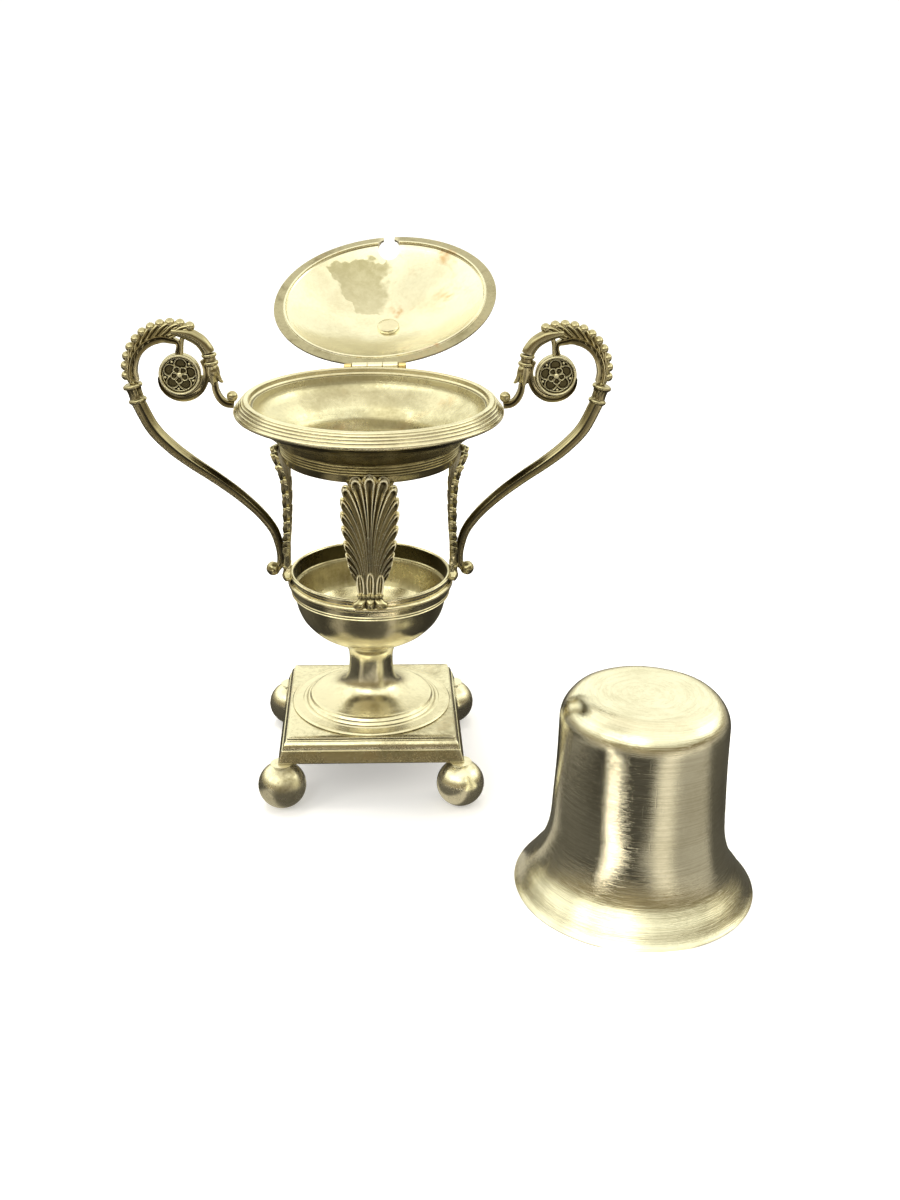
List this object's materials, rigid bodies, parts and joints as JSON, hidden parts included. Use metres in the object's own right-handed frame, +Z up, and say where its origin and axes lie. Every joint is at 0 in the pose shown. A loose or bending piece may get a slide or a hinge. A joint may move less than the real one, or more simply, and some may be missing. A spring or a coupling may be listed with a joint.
{
  "type": "standing censer",
  "caption": "Silver standing censer: square plinth on ball feet, bowl, palmette standards, scrolled handles, hinged lid with spoon slot and a loose bell-shaped cup.",
  "frame": {"origin": "centre of the plinth's underside, on the lower face of the stem nut", "axes": "+Z up, -Y towards the front (the side opposite the lid's hinge), +X to the right seen from the front"},
  "size_m": [0.164, 0.2001, 0.1373],
  "materials": {
    "polished_silver": "worn polish, yellowed",
    "satin_silver": "aged satin with tarnish in the recesses",
    "cast_silver": "cast and chased, dark in the recesses",
    "brass_fixings": "dull brass"
  },
  "bodies": {
    "frame": {"foot_ball_front_left": "polished_silver", "foot_ball_front_right": "polished_silver", "foot_ball_rear_left": "polished_silver", "foot_ball_rear_right": "polished_silver", "plinth": "satin_silver", "stem": "satin_silver", "bowl": "satin_silver", "bowl_moulding": "satin_silver", "collar": "satin_silver", "collar_ring": "satin_silver", "hinge_leaf_collar": "satin_silver", "stem_nut": "brass_fixings", "stem_stud": "brass_fixings", "hinge_pin": "brass_fixings", "palmette_front": "cast_silver", "palmette_right": "cast_silver", "palmette_rear": "cast_silver", "palmette_left": "cast_silver", "handle_stem_left": "cast_silver", "ferrule_left": "cast_silver", "arch_left": "cast_silver", "calyx_left": "cast_silver", "hook_left": "cast_silver", "volute_left": "cast_silver", "rosette_left": "cast_silver", "handle_stem_right": "cast_silver", "ferrule_right": "cast_silver", "arch_right": "cast_silver", "calyx_right": "cast_silver", "hook_right": "cast_silver", "volute_right": "cast_silver", "rosette_right": "cast_silver"},
    "lid": {"lid": "polished_silver", "hinge_leaf_lid": "satin_silver", "finial": "cast_silver", "finial_nut": "satin_silver"},
    "cup": {"cup": "polished_silver"}
  },
  "joints": [
    {"name": "lid_hinge", "type": "hinge", "parent": "frame", "child": "lid", "pos_m": [0.00267, 0.0372, 0.0971], "axis": [0.9967, -0.0714, 0.0391], "range_deg": [-3, 157.4]},
    {"name": "cup_lift", "type": "slide", "parent": "frame", "child": "cup", "axis": [0, 0, 1], "range_m": [0, 0.2]}
  ]
}
